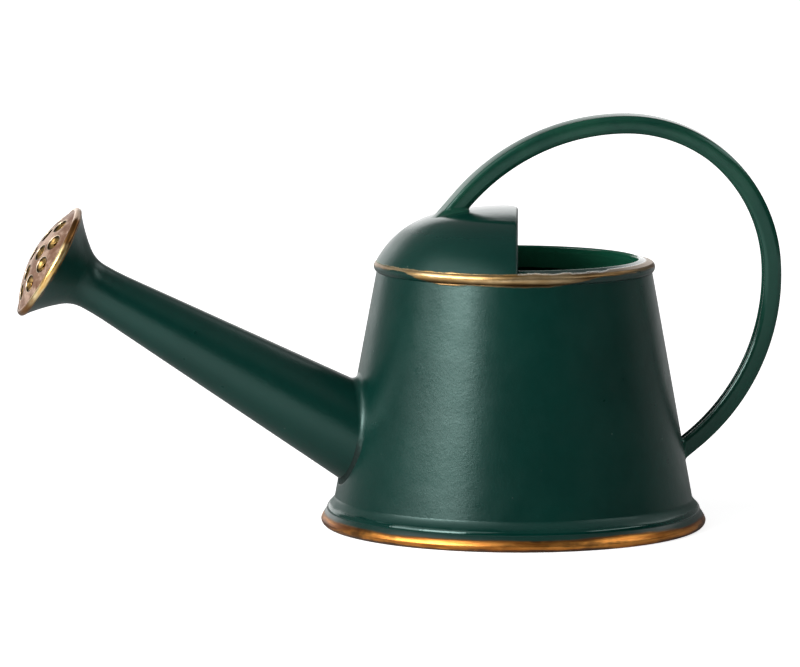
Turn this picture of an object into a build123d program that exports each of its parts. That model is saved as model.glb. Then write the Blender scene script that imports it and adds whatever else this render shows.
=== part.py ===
"""A small decorative watering can in cast metal: a tapering can on a flared foot, a half cover over
the mouth, a straight spout with a trumpet rose, and a bar handle. Millimetres, +Z up.

The origin is the middle of the foot, on the surface the can stands on. The spout points along -X,
the handle is on +X, and the XZ plane is the plane of symmetry.
"""

from build123d import *
import os
from math import asin, atan2, cos, radians, sin, sqrt, tan

os.makedirs("parts", exist_ok=True)

# ------------------------------------------------------------------ driving sizes
# Fits: the solder gap between pieces that slide into or over each other
joint_gap = 0.05

# Can wall, a straight taper from the foot to the rim
foot_top = 3.3
rim_seat = 33.0
wall_foot_radius = 23.3
wall_mouth_radius = 17.85
wall = 1.75

# Foot ring, which holds the wall and the base plate on an inner ledge
foot_flare = 1.7
foot_widest_height = 0.8
foot_land_inset = 0.6
foot_under_bulge = 0.17
foot_flare_bulge = 0.17
foot_cove_height = 0.8
foot_cove_reach = 0.4
foot_cove_hollow = 0.07
foot_ledge_height = 1.2
foot_ledge_reach = 3.2
foot_socket_depth = 0.35

# Base plate
base_thickness = 1.2

# Rim ring, a bead with a skirt inside the wall
rim_bead_overhang = 0.35
rim_bead_height = 0.8
rim_shoulder_overhang = 0.05
rim_shoulder_height = 1.3
rim_width = 1.9
rim_top_slope = 15.0
rim_skirt = 0.9
rim_skirt_depth = 1.2
rim_edge_round = 0.25

# Bonnet, half of a flattened dome that stands on the rim ring
bonnet_rise = 7.1
bonnet_shoulder = 11.9
bonnet_shoulder_lean = 27.8
bonnet_wall = 1.2
bonnet_nose_x = 0.45
bonnet_edge_sweep = 9.6
bonnet_nose_radius = 4.0
bonnet_edge_round = 0.4

# Spout, a straight taper on an axis that starts on the wall's outer skin
spout_root_height = 12.83
spout_rise = 29.82
spout_root_radius = 6.11
spout_neck_radius = 3.12
spout_length = 35.87
spout_wall = 1.2
spout_fillet = 1.2
seam_drop = 0.8
seam_depth = 0.8

# Rose trumpet, which slips over a spigot on the end of the spout
spigot_wall = 0.7
spigot_length = 2.6
rose_neck_length = 2.2
rose_flare_radius = 4.2
rose_flare_angle = 38.0
rose_length = 8.23
rose_mouth_radius = 7.43
rose_wall = 0.9

# Rose lip, a rolled ring with a recess for the face
lip_overhang = 0.39
lip_height = 0.95
lip_widest_height = 0.52
lip_ledge_width = 1.03
lip_recess_height = 0.5

# Rose face, a perforated dome with a dish round each hole, one in the middle and two rings of them
face_inset = 0.23
face_edge = 0.42
face_rise = 1.88
face_thickness = 1.0
dish_radius = 1.25
dish_depth = 0.45
hole_radius = 0.3
dish_ring_radii = [0.0, 2.89, 5.19]
dish_ring_counts = [1, 5, 10]
dish_ring_turns = [0.0, -6.0, 12.0]

# Handle, a rounded rectangular bar bent in tangent arcs from its crown to both feet
bar_depth = 2.71
bar_width = 2.54
bar_corner = 0.8
crown_x = 14.41
crown_height = 51.95
front_arc_radius = 28.25
front_arc_angle = 34.2
rear_arc_radius = 19.6
rear_arc_angle = 86.6
front_foot_x = -8.12
front_foot_slope = 55.6
rear_foot_height = 9.34
rear_foot_slope = 30.9
handle_bury = 2.9
handle_fillet = 1.1


# ------------------------------------------------------------------ shared places
def wall_radius(height):
    """Outside radius of the can wall at a height."""
    share = (height - foot_top) / (rim_seat - foot_top)
    return wall_foot_radius + (wall_mouth_radius - wall_foot_radius) * share


def spout_radius(along):
    """Outside radius of the spout at a distance along its axis."""
    return spout_root_radius + (spout_neck_radius - spout_root_radius) * along / spout_length


def bonnet_height(x):
    """Height of the bonnet's outer skin in the plane of symmetry."""
    return bonnet_base + bonnet_rise - crown_radius + sqrt(crown_radius**2 - x**2)


rim_shoulder_radius = wall_mouth_radius + rim_shoulder_overhang
rim_bore_radius = rim_shoulder_radius - rim_width
rim_slope = tan(radians(rim_top_slope))
bonnet_base = rim_seat + rim_shoulder_height
shoulder_reach = rim_shoulder_radius - bonnet_shoulder * cos(radians(bonnet_shoulder_lean))
shoulder_drop = bonnet_shoulder * sin(radians(bonnet_shoulder_lean))
crown_above = bonnet_rise + shoulder_drop
crown_radius = (shoulder_reach**2 + crown_above**2 - bonnet_shoulder**2) / (
    2 * (crown_above - bonnet_shoulder)
)
skirt_bottom = bonnet_base - bonnet_wall
crown_turn = atan2(crown_radius - crown_above, shoulder_reach)

can_plane = Plane.YZ
spout_root = (-wall_radius(spout_root_height), 0, spout_root_height)
spout_direction = (-cos(radians(spout_rise)), 0, sin(radians(spout_rise)))
spout_plane = Plane(origin=spout_root, x_dir=spout_direction, z_dir=(0, 1, 0))
spout_axis = Axis(spout_root, spout_direction)
spout_upper_half = Plane(origin=spout_root, x_dir=spout_direction, z_dir=spout_plane.y_dir)

face_radius = rose_mouth_radius - face_inset
lip_ledge_radius = rose_mouth_radius - lip_ledge_width
lip_seat = spout_length + rose_length
face_seat = lip_seat + lip_recess_height
dome_base = face_seat + face_edge
dome_radius = (face_radius**2 + face_rise**2) / (2 * face_rise)
dome_centre = dome_base + face_rise - dome_radius


def revolve_can_profile(points, mode=Mode.ADD):
    """Turn a closed outline of (radius, height) points round the can's axis."""
    with BuildSketch(can_plane) as profile:
        with BuildLine():
            Polyline(*points, close=True)
        make_face()
    revolve(profile.sketch, axis=Axis.Z, mode=mode)


def revolve_spout_profile(points, mode=Mode.ADD):
    """Turn a closed outline of (along, radius) points round the spout's axis."""
    with BuildSketch(spout_plane) as profile:
        with BuildLine():
            Polyline(*points, close=True)
        make_face()
    revolve(profile.sketch, axis=spout_axis, mode=mode)


def can_cone(inset, mode=Mode.ADD):
    """The space inside the wall's outer skin, less an inset, from below the foot to above the rim."""
    low = -foot_top
    high = rim_seat + rim_skirt_depth
    revolve_can_profile(
        [(0, low), (wall_radius(low) - inset, low), (wall_radius(high) - inset, high), (0, high)],
        mode=mode,
    )


def spout_cone(start, end, growth=0, mode=Mode.ADD):
    """The solid cone inside the spout's outer skin between two stations, grown all round."""
    revolve_spout_profile(
        [(start, 0), (start, spout_radius(start) + growth), (end, spout_radius(end) + growth), (end, 0)],
        mode=mode,
    )


def bonnet_dome(inset, mode=Mode.ADD):
    """The solid dome inside the bonnet's outer skin, less an inset, with a skirt below its base."""
    shoulder = bonnet_shoulder - inset
    centre_height = bonnet_base - shoulder_drop
    foot = (
        shoulder_reach + shoulder * cos(radians(bonnet_shoulder_lean)),
        centre_height + shoulder * sin(radians(bonnet_shoulder_lean)),
    )
    knee = (
        shoulder_reach + shoulder * cos(crown_turn),
        centre_height + shoulder * sin(crown_turn),
    )
    top = bonnet_base + bonnet_rise - inset
    with BuildSketch(can_plane) as profile:
        with BuildLine():
            RadiusArc(foot, knee, -shoulder)
            RadiusArc(knee, (0, top), inset - crown_radius)
            Polyline((0, top), (0, skirt_bottom), (foot[0], skirt_bottom), foot)
        make_face()
    revolve(profile.sketch, axis=Axis.Z, mode=mode)


# ------------------------------------------------------------------ can wall
ledge_wall_radius = wall_radius(foot_ledge_height)
rebate_radius = rim_bore_radius + rim_skirt + joint_gap
rebate_height = rim_seat - rim_skirt_depth - joint_gap
spout_inside = -spout_root_radius

# An open seam under the spout, as deep as seam_depth: the tube's outline again, a little lower
with BuildPart() as bare_spout:
    spout_cone(spout_inside, spout_root_radius)

with BuildPart() as spout_seam:
    with Locations((0, 0, -seam_drop)):
        add(bare_spout.part)
    can_cone(seam_depth, mode=Mode.SUBTRACT)

with BuildPart() as body_shell:
    revolve_can_profile(
        [
            (ledge_wall_radius - foot_socket_depth, foot_ledge_height),
            (wall_foot_radius - foot_socket_depth, foot_top),
            (wall_foot_radius, foot_top),
            (wall_mouth_radius, rim_seat),
            (rebate_radius, rim_seat),
            (rebate_radius, rebate_height),
            (wall_radius(rebate_height) - wall, rebate_height),
            (ledge_wall_radius - wall, foot_ledge_height),
        ]
    )
    spout_cone(spout_inside, spout_root_radius, joint_gap, mode=Mode.SUBTRACT)
    add(spout_seam.part, mode=Mode.SUBTRACT)
body_shell.part.label = "body_shell"
export_step(body_shell.part, "parts/body_shell.step")

# ------------------------------------------------------------------ foot ring
foot_bore_radius = ledge_wall_radius - foot_ledge_reach
socket_inset = foot_socket_depth - joint_gap
foot_radius = wall_foot_radius + foot_flare
foot_land_radius = foot_radius - foot_land_inset
foot_widest = (foot_radius, foot_widest_height)
cove_foot = (wall_foot_radius + foot_cove_reach, foot_top - foot_cove_height)

with BuildPart() as foot_ring:
    with BuildSketch(can_plane):
        with BuildLine():
            Polyline(
                (wall_foot_radius, foot_top),
                (wall_foot_radius - socket_inset, foot_top),
                (ledge_wall_radius - socket_inset, foot_ledge_height),
                (foot_bore_radius, foot_ledge_height),
                (foot_bore_radius, 0),
                (foot_land_radius, 0),
            )
            SagittaArc((foot_land_radius, 0), foot_widest, -foot_under_bulge)
            SagittaArc(foot_widest, cove_foot, -foot_flare_bulge)
            SagittaArc(cove_foot, (wall_foot_radius, foot_top), foot_cove_hollow)
        make_face()
    revolve(axis=Axis.Z)
foot_ring.part.label = "foot_ring"
export_step(foot_ring.part, "parts/foot_ring.step")

# ------------------------------------------------------------------ base plate
base_top = foot_ledge_height + base_thickness
plate_inset = wall + joint_gap

with BuildPart() as base_plate:
    revolve_can_profile(
        [
            (0, foot_ledge_height),
            (ledge_wall_radius - plate_inset, foot_ledge_height),
            (wall_radius(base_top) - plate_inset, base_top),
            (0, base_top),
        ]
    )
base_plate.part.label = "base_plate"
export_step(base_plate.part, "parts/base_plate.step")

# ------------------------------------------------------------------ rim ring
skirt_radius = rim_bore_radius + rim_skirt

with BuildPart() as rim_ring:
    with BuildSketch(can_plane):
        with BuildLine():
            Polyline(
                (rim_shoulder_radius, bonnet_base),
                (rim_bore_radius, bonnet_base + rim_width * rim_slope),
                (rim_bore_radius, rim_seat - rim_skirt_depth),
                (skirt_radius, rim_seat - rim_skirt_depth),
                (skirt_radius, rim_seat),
                (wall_mouth_radius, rim_seat),
            )
            ThreePointArc(
                (wall_mouth_radius, rim_seat),
                (wall_mouth_radius + rim_bead_overhang, rim_seat + rim_bead_height),
                (rim_shoulder_radius, bonnet_base),
            )
        make_face()
        fillet(vertices().sort_by(Axis.Y)[-1], radius=rim_edge_round)
    revolve(axis=Axis.Z)
rim_ring.part.label = "rim_ring"
export_step(rim_ring.part, "parts/rim_ring.step")

# ------------------------------------------------------------------ bonnet
seat_width = 2 * bonnet_wall
seat_inside = rim_shoulder_radius - seat_width
flank_back = rim_shoulder_radius * tan(radians(bonnet_edge_sweep))

with BuildPart() as bonnet:
    bonnet_dome(0)
    with BuildSketch(Plane.XY.offset(skirt_bottom)):
        with BuildLine():
            FilletPolyline(
                (bonnet_nose_x - flank_back, rim_shoulder_radius),
                (bonnet_nose_x, 0),
                (bonnet_nose_x - flank_back, -rim_shoulder_radius),
                radius=bonnet_nose_radius,
            )
            Polyline(
                (bonnet_nose_x - flank_back, -rim_shoulder_radius),
                (-rim_shoulder_radius, -rim_shoulder_radius),
                (-rim_shoulder_radius, rim_shoulder_radius),
                (bonnet_nose_x - flank_back, rim_shoulder_radius),
            )
        make_face()
    extrude(amount=bonnet_rise + 2 * bonnet_wall, mode=Mode.INTERSECT)
    open_faces = faces().filter_by_position(Axis.X, -flank_back, bonnet_nose_x)
    cut_edges = open_faces.filter_by(GeomType.SPHERE, reverse=True).edges()
    brow_edges = cut_edges.filter_by_position(Axis.Z, bonnet_base, bonnet_base + bonnet_rise)
    brow_edges = brow_edges.filter_by(Axis.Z, reverse=True)
    fillet(brow_edges, radius=bonnet_edge_round)
    bonnet_dome(bonnet_wall, mode=Mode.SUBTRACT)
    revolve_can_profile(
        [
            (rim_shoulder_radius, bonnet_base),
            (seat_inside, bonnet_base + seat_width * rim_slope),
            (seat_inside, skirt_bottom - bonnet_wall),
            (rim_shoulder_radius, skirt_bottom - bonnet_wall),
        ],
        mode=Mode.SUBTRACT,
    )
bonnet.part.label = "bonnet"
export_step(bonnet.part, "parts/bonnet.step")

# ------------------------------------------------------------------ spout tube
bore_end_radius = spout_neck_radius - spout_wall
spigot_radius = bore_end_radius + spigot_wall

with BuildPart() as spout_tube:
    revolve_spout_profile(
        [
            (spout_inside, spout_radius(spout_inside)),
            (spout_length, spout_neck_radius),
            (spout_length, spigot_radius),
            (spout_length + spigot_length, spigot_radius),
            (spout_length + spigot_length, bore_end_radius),
            (spout_length, bore_end_radius),
            (spout_inside, spout_radius(spout_inside) - spout_wall),
        ]
    )
    can_cone(wall, mode=Mode.SUBTRACT)
spout_tube.part.label = "spout_tube"
export_step(spout_tube.part, "parts/spout_tube.step")

# ------------------------------------------------------------------ fillet over the spout's root
with BuildPart() as spout_root_fillet:
    can_cone(0)
    spout_cone(spout_inside, spout_length)
    root_edges = edges(Select.LAST).filter_by(GeomType.BSPLINE)
    fillet(root_edges, radius=spout_fillet)
    can_cone(-joint_gap, mode=Mode.SUBTRACT)
    spout_cone(spout_inside, spout_length, joint_gap, mode=Mode.SUBTRACT)
    split(bisect_by=spout_upper_half, keep=Keep.TOP)
spout_root_fillet.part.label = "spout_root_fillet"
export_step(spout_root_fillet.part, "parts/spout_root_fillet.step")

# ------------------------------------------------------------------ rose trumpet
socket_end = spout_length + spigot_length + joint_gap
flare_start = spout_length + rose_neck_length
flare_sine = sin(radians(rose_flare_angle))
flare_cosine = cos(radians(rose_flare_angle))
inner_flare_radius = rose_flare_radius + rose_wall
flare_centre = spout_neck_radius + rose_flare_radius
inner_flare_end = (
    flare_start + inner_flare_radius * flare_sine,
    flare_centre - inner_flare_radius * flare_cosine,
)

with BuildPart() as rose_shell:
    with BuildSketch(spout_plane):
        with BuildLine():
            neck = Line((spout_length, spout_neck_radius), (flare_start, spout_neck_radius))
            throat = JernArc(neck @ 1, (1, 0), rose_flare_radius, rose_flare_angle)
            bell = TangentArc(throat @ 1, (lip_seat, rose_mouth_radius), tangent=throat % 1)
            inner_bell = TangentArc(
                inner_flare_end,
                (lip_seat, lip_ledge_radius),
                tangent=(flare_cosine, flare_sine),
            )
            Line(bell @ 1, inner_bell @ 1)
            inner_throat = RadiusArc(
                (socket_end + spigot_wall, bore_end_radius),
                inner_bell @ 0,
                inner_flare_radius,
            )
            Polyline(
                inner_throat @ 0,
                (socket_end, bore_end_radius),
                (socket_end, spigot_radius + joint_gap),
                (spout_length, spigot_radius + joint_gap),
                neck @ 0,
            )
        make_face()
    revolve(axis=spout_axis)
rose_shell.part.label = "rose_shell"
export_step(rose_shell.part, "parts/rose_shell.step")

# ------------------------------------------------------------------ rose lip
lip_top = lip_seat + lip_height
recess_radius = face_radius + joint_gap

with BuildPart() as rose_lip:
    with BuildSketch(spout_plane):
        with BuildLine():
            Polyline(
                (lip_seat, rose_mouth_radius),
                (lip_seat, lip_ledge_radius),
                (face_seat, lip_ledge_radius),
                (face_seat, recess_radius),
                (lip_top, recess_radius),
                (lip_top, recess_radius + joint_gap),
            )
            ThreePointArc(
                (lip_top, recess_radius + joint_gap),
                (lip_seat + lip_widest_height, rose_mouth_radius + lip_overhang),
                (lip_seat, rose_mouth_radius),
            )
        make_face()
    revolve(axis=spout_axis)
rose_lip.part.label = "rose_lip"
export_step(rose_lip.part, "parts/rose_lip.step")

# ------------------------------------------------------------------ rose face
dish_ball = (dish_radius**2 + dish_depth**2) / (2 * dish_depth)
dome_place = spout_plane.from_local_coords(Vector(dome_centre, 0, 0))


def dish_planes():
    """A plane on the dome for each hole, with its normal out of the dome."""
    planes = []
    for ring_radius, count, first_turn in zip(dish_ring_radii, dish_ring_counts, dish_ring_turns):
        lean = asin(ring_radius / dome_radius)
        for number in range(count):
            turn = radians(first_turn + 360 * number / count)
            normal = Vector(cos(lean), sin(lean) * cos(turn), sin(lean) * sin(turn))
            outward = spout_plane.from_local_coords(normal) - spout_plane.origin
            planes.append(Plane(origin=dome_place + outward * dome_radius, z_dir=outward))
    return planes


with BuildPart() as rose_face:
    with BuildSketch(spout_plane):
        with BuildLine():
            edge = Polyline((dome_base, face_radius), (face_seat, face_radius), (face_seat, 0))
            nose = Line(edge @ 1, (dome_base + face_rise, 0))
            RadiusArc(edge @ 0, nose @ 1, dome_radius)
        make_face()
    revolve(axis=spout_axis)
    with Locations(dome_place):
        Sphere(dome_radius - face_thickness, mode=Mode.SUBTRACT)
    with Locations([place.offset(dish_ball - dish_depth) for place in dish_planes()]):
        Sphere(dish_ball, mode=Mode.SUBTRACT)
    with Locations(dish_planes()):
        Cylinder(hole_radius, 2 * face_thickness + dish_ball, mode=Mode.SUBTRACT)
rose_face.part.label = "rose_face"
export_step(rose_face.part, "parts/rose_face.step")


# ------------------------------------------------------------------ handle
front_foot = (front_foot_x, bonnet_height(front_foot_x))
rear_foot = (wall_radius(rear_foot_height), rear_foot_height)


def buried_end(foot, slope):
    """The end of the bar's middle line, a short way inside the piece that the foot stands on."""
    lean = radians(slope)
    return (foot[0] - handle_bury * cos(lean), foot[1] - handle_bury * sin(lean))


def handle_bar(growth=0, mode=Mode.ADD):
    """The bar along its whole path, with both feet buried in what carries them."""
    front_end = buried_end(front_foot, front_foot_slope)
    rear_end = buried_end(rear_foot, rear_foot_slope)
    crown = (crown_x, crown_height)
    with BuildLine(Plane.XZ) as path:
        front_arc = JernArc(crown, (-1, 0), front_arc_radius, front_arc_angle)
        TangentArc(front_arc @ 1, front_end, tangent=front_arc % 1)
        rear_arc = JernArc(crown, (1, 0), rear_arc_radius, -rear_arc_angle)
        TangentArc(rear_arc @ 1, rear_end, tangent=rear_arc % 1)
    route = path.wire()
    with BuildSketch(Plane(origin=route @ 0, x_dir=(0, 1, 0), z_dir=route % 0)) as section:
        RectangleRounded(bar_width + 2 * growth, bar_depth + 2 * growth, bar_corner + growth)
    sweep(section.sketch, path=route, mode=mode)


with BuildPart() as handle_hoop:
    handle_bar()
    bonnet_dome(-joint_gap, mode=Mode.SUBTRACT)
    can_cone(-joint_gap, mode=Mode.SUBTRACT)
handle_hoop.part.label = "handle_hoop"
export_step(handle_hoop.part, "parts/handle_hoop.step")

# ------------------------------------------------------------------ fillets round the handle's feet
foot_reach = bar_depth + bar_width


def keep_near(foot, reach):
    """Cut the joined bodies down to the neighbourhood of one foot."""
    with Locations((foot[0], 0, foot[1])):
        Sphere(reach, mode=Mode.INTERSECT)


def seam_edges(foot):
    """The edges where the bar meets what its foot stands on, which are neither straight nor round."""
    middle = Vector(foot[0], 0, foot[1])
    inner = edges().filter_by(lambda edge: (edge @ 0.5 - middle).length < foot_reach - joint_gap)
    return [edge for edge in inner if edge.geom_type not in (GeomType.LINE, GeomType.CIRCLE)]


with BuildPart() as front_foot_clearance:
    bonnet_dome(-joint_gap)
    handle_bar(joint_gap)
    keep_near(front_foot, foot_reach + joint_gap)

with BuildPart() as handle_front_fillet:
    bonnet_dome(0)
    handle_bar()
    keep_near(front_foot, foot_reach)
    fillet(seam_edges(front_foot), radius=handle_fillet)
    add(front_foot_clearance.part, mode=Mode.SUBTRACT)
handle_front_fillet.part.label = "handle_front_fillet"
export_step(handle_front_fillet.part, "parts/handle_front_fillet.step")

with BuildPart() as rear_foot_clearance:
    can_cone(-joint_gap)
    handle_bar(joint_gap)
    keep_near(rear_foot, foot_reach + joint_gap)

with BuildPart() as handle_rear_fillet:
    can_cone(0)
    handle_bar()
    keep_near(rear_foot, foot_reach)
    fillet(seam_edges(rear_foot), radius=handle_fillet)
    add(rear_foot_clearance.part, mode=Mode.SUBTRACT)
handle_rear_fillet.part.label = "handle_rear_fillet"
export_step(handle_rear_fillet.part, "parts/handle_rear_fillet.step")
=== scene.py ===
"""Looks of a miniature cast-metal watering can: dark green satin enamel with the rims, the foot and
the rose picked out by hand in antique gold paint.

Metres, in the frame of the solids: the base stands on z = 0, its centre is the origin, the spout
points to -X and the handle to +X.
"""
import math

import bpy
from mathutils import Matrix, Vector
from mathutils.bvhtree import BVHTree


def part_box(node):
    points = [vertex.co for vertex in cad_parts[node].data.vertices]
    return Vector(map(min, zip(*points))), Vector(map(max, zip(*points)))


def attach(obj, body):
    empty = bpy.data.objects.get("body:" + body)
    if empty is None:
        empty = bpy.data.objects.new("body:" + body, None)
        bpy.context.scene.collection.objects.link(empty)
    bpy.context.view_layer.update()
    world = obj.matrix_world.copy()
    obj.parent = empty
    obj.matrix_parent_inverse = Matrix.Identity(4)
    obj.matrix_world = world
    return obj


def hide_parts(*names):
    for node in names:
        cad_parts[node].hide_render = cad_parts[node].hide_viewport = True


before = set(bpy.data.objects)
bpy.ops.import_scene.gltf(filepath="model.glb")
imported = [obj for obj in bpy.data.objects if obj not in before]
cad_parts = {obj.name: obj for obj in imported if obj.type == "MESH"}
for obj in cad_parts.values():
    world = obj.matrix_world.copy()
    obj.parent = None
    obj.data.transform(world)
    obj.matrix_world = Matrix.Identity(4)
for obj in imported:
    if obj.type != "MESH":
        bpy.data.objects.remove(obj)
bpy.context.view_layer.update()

MM = 0.001


# ---------------------------------------------------------------- node graphs
class Graph:
    """One node tree, with short calls for the nodes used again and again."""

    def __init__(self, tree):
        self.tree = tree
        tree.nodes.clear()

    def node(self, kind, inputs=None, **settings):
        made = self.tree.nodes.new(kind)
        for name, value in settings.items():
            setattr(made, name, value)
        for key, value in (inputs or {}).items():
            self.put(made.inputs[key], value)
        return made

    def put(self, socket, value):
        if isinstance(value, bpy.types.NodeSocket):
            self.tree.links.new(value, socket)
        else:
            socket.default_value = value

    def math(self, operation, a, b=0.0):
        return self.node("ShaderNodeMath", {0: a, 1: b}, operation=operation).outputs[0]

    def vector(self, operation, a, b=(0.0, 0.0, 0.0)):
        made = self.node("ShaderNodeVectorMath", {0: a, 1: b}, operation=operation)
        return made.outputs["Value" if operation in ("DOT_PRODUCT", "LENGTH") else "Vector"]

    def scaled(self, vector, factor):
        made = self.node("ShaderNodeVectorMath", {0: vector, "Scale": factor}, operation="SCALE")
        return made.outputs["Vector"]

    def ramp(self, value, start, end):
        """0 at start, 1 at end, with a soft turn at both."""
        made = self.node("ShaderNodeMapRange", {"Value": value, "From Min": start, "From Max": end},
                         interpolation_type="SMOOTHSTEP", clamp=True)
        return made.outputs["Result"]

    def noise(self, where, size, detail=2.0, roughness=0.5, seed=0.0):
        """Noise from about 0.3 to 0.7, whose lumps are about size metres across."""
        moved = self.vector("ADD", where, (seed, seed * 0.7, -seed))
        made = self.node("ShaderNodeTexNoise",
                         {"Vector": moved, "Scale": 0.5 / size, "Detail": detail,
                          "Roughness": roughness})
        return made.outputs["Fac"]

    def mix(self, factor, a, b):
        made = self.node("ShaderNodeMix", data_type="RGBA")
        self.put(made.inputs[0], factor)
        self.put(made.inputs[6], a)
        self.put(made.inputs[7], b)
        return made.outputs[2]

    def blend(self, factor, a, b):
        """A plain number between a and b."""
        made = self.node("ShaderNodeMix", data_type="FLOAT")
        self.put(made.inputs[0], factor)
        self.put(made.inputs[2], a)
        self.put(made.inputs[3], b)
        return made.outputs[0]


# ---------------------------------------------------------------- places on the can
OBJECT_TURN = math.radians(8.3)
room = Matrix.Rotation(-OBJECT_TURN, 3, "Z")
RIM_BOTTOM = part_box("rim_ring")[0].z
FOOT_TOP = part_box("foot_ring")[1].z

SPOUT_RISE = math.radians(29.82)
AXIS = Vector((-math.cos(SPOUT_RISE), 0.0, math.sin(SPOUT_RISE)))
SPOUT_UPSIDE = Vector((math.sin(SPOUT_RISE), 0.0, math.cos(SPOUT_RISE)))
ACROSS = Vector((0.0, 1.0, 0.0))
SPOUT_ROOT = Vector((-21.551, 0.0, 12.83)) * MM
SPOUT_ROOT_RADIUS, SPOUT_TIP_RADIUS, SPOUT_LENGTH = 6.11 * MM, 3.12 * MM, 35.87 * MM
FACE_RADIUS = 7.2 * MM
FACE_RISE = 1.88 * MM
DOME_RADIUS = (FACE_RADIUS ** 2 + FACE_RISE ** 2) / (2 * FACE_RISE)
DOME_BASE = 45.02 * MM
DOME_CENTRE = SPOUT_ROOT + AXIS * (DOME_BASE + FACE_RISE - DOME_RADIUS)
LIP_START = 44.1 * MM
WALL_FOOT = (23.3 * MM, 3.3 * MM)
WALL_MOUTH = (17.85 * MM, 33.0 * MM)
WALL_LEAN = (WALL_FOOT[0] - WALL_MOUTH[0]) / (WALL_MOUTH[1] - WALL_FOOT[1])
WALL_NORMAL_RISE = 0.1835
WALL_TOP_INSIDE = 17.0 * MM
RIM_BORE = 16.35 * MM

GREEN_DARK = (0.0006, 0.0285, 0.0215, 1.0)
GREEN = (0.0010, 0.0350, 0.0262, 1.0)
GREEN_DUSTY = (0.0045, 0.0460, 0.0360, 1.0)
# Lighter handle green: wear and painted highlight
GREEN_RUBBED_AND_LIT = (0.0130, 0.0760, 0.0460, 1.0)
# Inside green, painted far lighter than the outside enamel: painted light standing in for light
# falling into the mouth
GREEN_INSIDE_PAINTED_LIGHT = (0.0120, 0.1200, 0.0660, 1.0)
SPECK = (0.16, 0.21, 0.18, 1.0)
# Near black for the crease under the spout: painted shade
SEAM_SHADE = (0.0012, 0.0040, 0.0030, 1.0)
GREEN_GLOSS = (0.70, 1.0, 0.94, 1.0)
PLAIN_GLOSS = (1.0, 1.0, 1.0, 1.0)
FOOT_GOLD = (0.94, 0.39, 0.085, 1.0)
FOOT_GOLD_DEEP = (0.50, 0.165, 0.030, 1.0)
# Pale gold for the top of the mouth's bead: painted highlight
BEAD_GOLD = (0.88, 0.66, 0.38, 1.0)
BEAD_GOLD_DEEP = (0.60, 0.36, 0.13, 1.0)
BEAD_FAWN = (0.26, 0.16, 0.070, 1.0)
BEAD_BROWN = (0.15, 0.080, 0.030, 1.0)
LIP_GOLD = (0.98, 0.80, 0.46, 1.0)
LIP_GOLD_DEEP = (0.78, 0.46, 0.13, 1.0)
LIP_BROWN = (0.40, 0.19, 0.060, 1.0)
LIP_BROWN_DEEP = (0.20, 0.085, 0.024, 1.0)
# Pale crown of the rose's lip: painted highlight
LIP_CROWN_HIGHLIGHT = (0.80, 0.60, 0.46, 1.0)
BRONZE = (0.085, 0.042, 0.016, 1.0)
UMBER = (0.020, 0.014, 0.007, 1.0)
FACE_BROWN = (0.30, 0.165, 0.105, 1.0)
FACE_PALE = (0.62, 0.42, 0.31, 1.0)
FACE_TARNISH = (0.20, 0.082, 0.036, 1.0)
# Dark sides of the rose's dishes: painted shade
DISH_SIDE_SHADE = (0.055, 0.030, 0.012, 1.0)
DISH_MIDDLE = (0.90, 0.56, 0.18, 1.0)
# Pale edges of the rose's dishes: wear and painted highlight
DISH_EDGE_WEAR_AND_HIGHLIGHT = (0.92, 0.76, 0.56, 1.0)


# ---------------------------------------------------------------- paints
def position(g):
    return g.node("ShaderNodeTexCoord").outputs["Object"]


def enamel(g, where):
    """Colour, roughness and height of the green enamel."""
    cloud = g.noise(where, 7.0 * MM, detail=3.0)
    tone = g.ramp(cloud, 0.34, 0.66)
    colour = g.mix(tone, GREEN_DARK, GREEN)
    haze = g.ramp(g.noise(where, 2.2 * MM, detail=4.0, roughness=0.62, seed=3.1), 0.5, 0.78)
    colour = g.mix(g.math("MULTIPLY", haze, 0.14), colour, GREEN_DUSTY)
    dust = g.ramp(g.noise(where, 0.16 * MM, detail=2.0, roughness=0.6, seed=6.0), 0.54, 0.72)
    colour = g.mix(g.math("MULTIPLY", dust, 0.16), colour, GREEN_DUSTY)
    specks = g.node("ShaderNodeTexVoronoi", {"Vector": where, "Scale": 1.0 / (1.9 * MM)})
    draw = g.node("ShaderNodeSeparateColor", {0: specks.outputs["Color"]}).outputs[0]
    rare = g.ramp(draw, 0.90, 0.94)
    near = g.ramp(specks.outputs["Distance"], 0.075, 0.03)
    speck = g.math("MULTIPLY", rare, near)
    colour = g.mix(g.math("MULTIPLY", speck, 0.34), colour, SPECK)
    rough = g.blend(g.noise(where, 1.3 * MM, detail=3.0, seed=1.7), 0.24, 0.37)
    peel = g.noise(where, 0.40 * MM, detail=2.0, roughness=0.6, seed=5.0)
    swell = g.noise(where, 4.5 * MM, detail=2.0, seed=9.0)
    grit = g.noise(where, 0.14 * MM, detail=2.0, roughness=0.6, seed=2.0)
    height = g.math("ADD", g.math("MULTIPLY", peel, 0.014 * MM),
                    g.math("MULTIPLY", swell, 0.06 * MM))
    height = g.math("ADD", height, g.math("MULTIPLY", grit, 0.008 * MM))
    height = g.math("ADD", height, g.math("MULTIPLY", speck, 0.02 * MM))
    return colour, rough, height


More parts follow.
